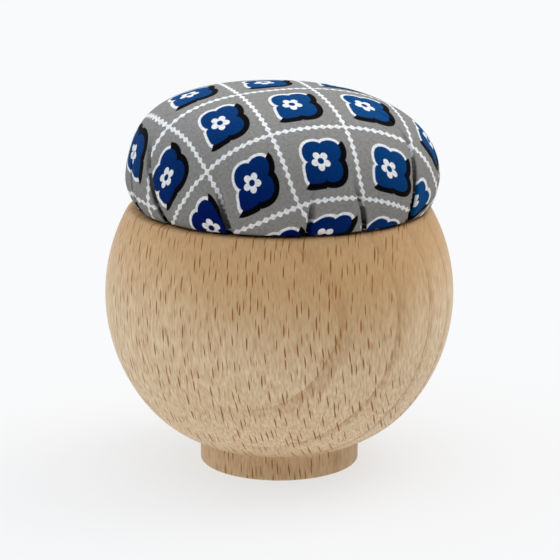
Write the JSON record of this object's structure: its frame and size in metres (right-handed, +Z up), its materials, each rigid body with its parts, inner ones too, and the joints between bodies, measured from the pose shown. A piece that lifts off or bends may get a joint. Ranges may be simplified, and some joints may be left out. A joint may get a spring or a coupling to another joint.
{
  "type": "pin cushion",
  "caption": "Stuffed pin cushion in a gathered printed cotton cover, push-fitted in the recess of a turned beech ball that stands on a short round foot.",
  "frame": {"origin": "on the table, under the middle of the foot", "axes": "+Z up along the axis that the ball was turned on, -Y towards the front that the picture shows, +X to the right seen from there"},
  "size_m": [0.06, 0.06, 0.0657],
  "materials": {
    "beech": "sanded and oiled, satin",
    "printed_cotton": "plain-weave cotton, screen printed",
    "wool": "carded wool wadding",
    "greyboard": "uncoated greyboard",
    "thread": "waxed cotton thread"
  },
  "bodies": {
    "base": {"turned_base": "beech"},
    "cushion": {"cushion_cover": "printed_cotton", "filling": "wool", "card_disc": "greyboard", "gathering_thread": "thread"}
  },
  "joints": [
    {"name": "cushion_lift", "type": "slide", "parent": "base", "child": "cushion", "axis": [0, 0, 1], "range_m": [0, 0.035]}
  ]
}
